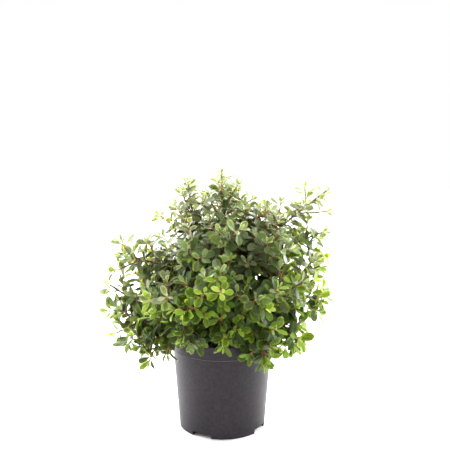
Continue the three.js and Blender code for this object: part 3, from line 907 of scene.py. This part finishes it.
def tone_of(rank, point, spray, own):
    """The kind of a leaf, from its rank below the shoot's tip, chance and how far out it grows: painted shade
    inside and low in the crown, painted light at its top and sides, and a painted sheen at its top and left.
    """
    inward = (SHADE["light"] - exposure(point)) / (SHADE["light"] - SHADE["dark"])
    inward = min(max(inward, 0), 1)
    high = (point.z - CROWN["middle_height"]) / CROWN["tall"]
    # Rank below the tip and chance give real age; lying inward adds painted shade
    age_and_shade = (
        AGE_AND_SHADE["rank"] * rank + AGE_AND_SHADE["inward"] * inward + AGE_AND_SHADE["spray"] * (spray - 0.5)
        + AGE_AND_SHADE["own"] * (own - 0.5) + AGE_AND_SHADE["start"]
    )
    aside = point.x / CROWN["wide"]
    # Low in the crown adds painted shade; the top, partly younger growth and partly painted light, and the
    # sides, painted light, take it away
    age_and_shade -= AGE_AND_SHADE["up" if high > 0 else "down"] * high + AGE_AND_SHADE["aside"] * abs(aside)
    tone = next((name for name, limit in TONE_LIMITS if age_and_shade < limit), "deep")
    # Painted sheen, most at the crown's top and left, with chance
    painted_sheen = PAINTED_SHEEN["up"] * high + PAINTED_SHEEN["left"] * max(-aside, 0) ** 2 + PAINTED_SHEEN["aside"] * abs(aside)
    painted_sheen += spray - 0.5
    return next((name for name, limit in PAINTED_SHEEN_LIMITS if painted_sheen > limit), "") + tone


def leaf_places(length, rule, scale):
    """How far below a shoot's tip its leaves stand, wider apart further down."""
    places = []
    down = LEAF["first_below"]
    space = LEAF["first_space"] * scale
    while down < length * (1 - rule["bare"]):
        places.append(down)
        down += space
        space = min(space * LEAF["widening"], rule["spacing"] * scale)
    return places


def leaf_tilt(rank):
    """Upright at the shoot's tip, spread in its rosette and a little more below it."""
    full = LEAF["full_rank"]
    if rank < full:
        return lerp(LEAF["tip_tilt"], LEAF["rosette_tilt"], rank / full)
    return lerp(LEAF["rosette_tilt"], LEAF["base_tilt"], min((rank - full) / (LEAF["base_rank"] - full), 1))


def by_chance(what, *keys):
    """How far one leaf departs from the usual in one of its sizes or angles."""
    return LEAF[f"{what}_sway"] * sway(*keys, DRAW[f"leaf_{what}"])


def shoot_leaves(shoot, keys, rule):
    """The leaves of one shoot, spiralling round it and crowded into a rosette at its tip."""
    length = shoot.length()
    spray = chance(*keys, DRAW["spray_tone"])
    scale = size_at(shoot.end.z)
    leaves = []
    for rank, down in enumerate(leaf_places(length, rule, scale)):
        leaf_keys = (*keys, rank)
        at = 1 - down / length
        growth = min(rank / LEAF["full_rank"], 1)
        tilt = max(leaf_tilt(rank) + by_chance("tilt", *leaf_keys), LEAF["least_tilt"])
        turn = STEM["turn"] * rank + by_chance("turn", *leaf_keys)
        size = LEAF["length"] + by_chance("length", *leaf_keys)
        size *= lerp(LEAF["youngest"], 1, growth ** LEAF["growth_curve"]) * scale
        width = (LEAF["width"] + by_chance("width", *leaf_keys)) * lerp(LEAF["narrowest"], 1, growth)
        root = shoot.point_at(at)
        heading = shoot.heading_at(at, turn, tilt)
        facing = shoot.direction_at(at) + light_direction(root) * LEAF["to_light"]
        normal = (facing - heading * facing.dot(heading)).normalized()
        roll = math.radians(by_chance("roll", *leaf_keys))
        middle = root + heading * size * LEAF["middle"]
        if not (outside_pot(root + heading * size) and outside_pot(middle)):
            continue
        leaves.append({
            "root": root, "heading": heading, "normal": Matrix.Rotation(roll, 3, heading) @ normal,
            "length": size, "width": width,
            "bend": LEAF["bend"] + by_chance("bend", *leaf_keys),
            "fold": LEAF["fold"] + by_chance("fold", *leaf_keys),
            "tone": tone_of(rank, middle, spray, chance(*leaf_keys, DRAW["leaf_tone"])),
        })
    return leaves


def blade_outline():
    """For each row of a leaf: its share of the length and half its width, as a share of the full width.

    A wedge widens from the stalk to a broad round tip, where the rows stand closer.
    """
    outline = [(0, BLADE["stalk_width"])]
    for i in range(BLADE["rows"]):
        share = i / (BLADE["rows"] - 1)
        reach = 0.5 * share + 0.5 * math.sin(0.5 * math.pi * share)
        if reach < BLADE["widest"]:
            half = 0.5 * math.sin(0.5 * math.pi * reach / BLADE["widest"]) ** BLADE["wedge"]
        else:
            half = 0.5 * math.sqrt(1 - ((reach - BLADE["widest"]) / (1 - BLADE["widest"])) ** 2)
        outline.append((lerp(BLADE["stalk"], 1, reach), max(half, BLADE["stalk_width"])))
    return outline


OUTLINE = blade_outline()
ACROSS = (-1, -BLADE["margin"], 0, 0, BLADE["margin"], 1)
COLUMNS = len(ACROSS) + 1
PARTS = {"blade": 0, "rib": 1, "margin": 2, "under": 3, "stalk": 4}
ROW_PARTS = ("margin", "blade", "rib", "blade", "margin", "under", "under")
LEAVES_IN_A_PIECE = 800


def leaf_grid(leaf):
    """Points of one leaf: each row has those across its upper side and one under the middle."""
    length, width = leaf["length"], leaf["width"] * leaf["length"]
    heading, normal = leaf["heading"], leaf["normal"]
    side = heading.cross(normal)
    along, below, before = 0.0, 0.0, 0.0
    points = []
    for row, (share, half) in enumerate(OUTLINE):
        angle = math.radians(leaf["bend"]) * share
        along += (share - before) * length * math.cos(angle)
        below += (share - before) * length * math.sin(angle)
        before = share
        above = normal * math.cos(angle) + heading * math.sin(angle)
        middle = leaf["root"] + heading * along - normal * below
        alternate = 1 if row % 2 else -1
        edge = half * width * (1 + BLADE["tooth"] * alternate)
        rib = min(BLADE["rib"] * width * (BLADE["rib_taper"] - share), edge * BLADE["rib_most"])
        for column, place_across in enumerate(ACROSS):
            across = place_across * edge
            if place_across == 0:
                across = -rib if column < COLUMNS / 2 - 1 else rib
            reach = abs(across) / width
            rise = leaf["fold"] * abs(across) - BLADE["cup"] * width * (2 * reach) ** 2
            points.append(middle + side * across + above * rise)
        points.append(middle - above * BLADE["thickness"])
    return points


def leaf_faces():
    """Quads of one leaf, its two end faces, and the part of the leaf that each quad belongs to."""
    quads = ring_quads(BLADE["rows"] + 1, COLUMNS)[:, ::-1]
    row_parts = [PARTS[part] for part in ROW_PARTS]
    parts = [PARTS["stalk"]] * COLUMNS + row_parts * (BLADE["rows"] - 1)
    last = BLADE["rows"] * COLUMNS
    caps = [np.arange(COLUMNS), last + np.arange(COLUMNS)[::-1]]
    return quads, np.array(caps), np.array(parts)


def tone_materials(tone, stalks):
    """The materials of one kind of leaf, in the order of its parts."""
    colour, roughness, gloss = TONES[tone]
    materials = [leaf_material(f"leaf_{tone}", colour, roughness, gloss)]
    for part, (times, extra) in PALER.items():
        paler = tuple(channel * times + more for channel, more in zip(colour, extra))
        materials.append(leaf_material(f"leaf_{tone}_{part}", paler, roughness + PALER_ROUGHER, gloss))
    return [*materials, *stalks]


def leaf_piece(name, group, materials):
    """One mesh of many leaves. The olive stalk of the crown's right side has the slot after the red one."""
    quads, caps, parts = leaf_faces()
    points = np.array([leaf_grid(leaf) for leaf in group])
    starts = np.arange(len(group))[:, None, None] * points.shape[1]
    faces = [(quads[None] + starts).reshape(-1, 4), (caps[None] + starts).reshape(-1, COLUMNS)]
    stalk = parts == PARTS["stalk"]
    slots = [parts + stalk * (leaf["root"].x > OLIVE_FROM) for leaf in group]
    ends = np.full(len(caps) * len(group), PARTS["under"])
    piece = add_mesh(name, points.reshape(-1, 3), faces, materials, np.concatenate([*slots, ends]))
    piece.data.set_sharp_from_angle(angle=math.radians(BLADE["sharp_from"]))
    return piece


def make_leaves(leaves, masses):
    """Joins the leaves, each tone apart, into pieces. The first piece stands for every mass of the solids."""
    stalks = [leaf_material(f"leaf_stalk_{i + 1}", *looks) for i, looks in enumerate(STALKS)]
    replaced = masses
    for tone in TONES:
        chosen = [leaf for leaf in leaves if leaf["tone"] == tone]
        materials = tone_materials(tone, stalks)
        for part, first in enumerate(range(0, len(chosen), LEAVES_IN_A_PIECE)):
            group = chosen[first:first + LEAVES_IN_A_PIECE]
            piece = leaf_piece(f"leaves_{tone}_{part + 1}", group, materials)
            finish_piece(piece, "leaves", *replaced)
            replaced = ()


def clear_of_pot(twig):
    checks = TWIG_TUBE["checks"]
    return all(outside_pot(twig.point_at(i / checks)) for i in range(1, checks + 1))


def grow_shoots(stems):
    """The twigs of every stem, each with its rule, and the leaves of all."""
    twigs, leaves = [], []
    for index, stem in enumerate(stems):
        leaves.extend(shoot_leaves(stem, (index, STEM["key"]), STEM))
        for rule in (TWIG, FINE_TWIG, SPUR):
            for k in range(rule["count"]):
                twig = twig_limb(stem, index, k, rule)
                if clear_of_pot(twig):
                    twigs.append((twig, rule))
                    leaves.extend(shoot_leaves(twig, (index, k + rule["key"]), rule))
    return twigs, leaves


def make_shoots(stems, twigs):
    """Stems and twigs. The newest wood of a twig, under its youngest leaves, is brighter."""
    older = Gathered()
    for stem in stems:
        older.add(*tube(stem, shoot_radius(STEM, STEM["knuckles"]), STEM))
    finish_piece(older.build("stems", bark_material("stem_bark")), "bark")
    steps = TWIG_TUBE["steps"]
    is_new = np.arange(steps) >= TWIG_TUBE["newest_from"] * steps
    newest = np.repeat(is_new, TWIG_TUBE["sides"]).astype(int)
    young = Gathered()
    for twig, rule in twigs:
        olive = TWIG_BARKS.index("olive_bark") * (twig.end.x > OLIVE_FROM)
        young.add(*tube(twig, shoot_radius(rule, TWIG_TUBE["knuckles"]), TWIG_TUBE), newest + olive)
    finish_piece(young.build("twigs", *[bark_material(name) for name in TWIG_BARKS]), "bark")


# The plant in its pot

make_pot()
make_compost()
boughs = grow_boughs()
make_wood(boughs)
stems = [stem for _, _, bough_stems in boughs for stem in bough_stems]
twigs, leaves = grow_shoots(stems)
make_shoots(stems, twigs)
masses = [f"leaves_{name}_{k + 1}" for name, _, bough_stems in boughs for k in range(len(bough_stems))]
make_leaves(leaves, masses)


# Floor, light and camera

FLOOR_SIZE = 6.0
MIDDLE = (0, 0, 0.25)
# Each lamp: where it stands and how wide it is, in metres, and its power
LAMPS = {
    "key_light": ((0.9, -1.5, 2.0), 1.2, 16),
    "back_light": ((-0.2, 1.6, 1.7), 1.4, 110),
    "left_light": ((-1.7, 0.7, 0.8), 1.2, 65),
    "right_light": ((1.7, 0.7, 0.8), 1.2, 58),
}
# The photograph's view: its focal length and frame in pixels, and how far it looks down
CAMERA = {"spot": (0.005, -1.471, 0.642), "down": 10.54, "focal": 850, "frame": 450, "sensor": 36}


def make_floor():
    half = FLOOR_SIZE / MM / 2
    white = new_material("floor_white", (0.93, 0.93, 0.925), roughness=0.9, Specular_IOR_Level=0.1)
    corners = [(-half, -half, 0), (half, -half, 0), (half, half, 0), (-half, half, 0)]
    add_mesh("floor", corners, [np.array([(0, 1, 2, 3)])], [white], smooth=False)


def add_area_light(name, spot, size, power):
    """A round lamp that faces the plant's middle."""
    data = bpy.data.lights.new(name, "AREA")
    data.shape = "DISK"
    data.size = size
    data.energy = power
    lamp = add_object(name, data)
    lamp.location = spot
    lamp.rotation_euler = (Vector(MIDDLE) - Vector(spot)).to_track_quat("-Z", "Y").to_euler()


def make_light():
    world = bpy.data.worlds.new("studio")
    world.use_nodes = True
    background = world.node_tree.nodes["Background"]
    background.inputs["Color"].default_value = (1, 1, 1, 1)
    background.inputs["Strength"].default_value = 1.0
    bpy.context.scene.world = world
    for name, (spot, size, power) in LAMPS.items():
        add_area_light(name, spot, size, power)
    bpy.context.scene.view_settings.view_transform = "Standard"


def make_camera():
    data = bpy.data.cameras.new("camera")
    data.sensor_width = CAMERA["sensor"]
    data.lens = CAMERA["focal"] / CAMERA["frame"] * CAMERA["sensor"]
    camera = add_object("camera", data)
    camera.location = CAMERA["spot"]
    camera.rotation_euler = (math.radians(90 - CAMERA["down"]), 0, 0)
    bpy.context.scene.camera = camera


make_floor()
make_light()
make_camera()
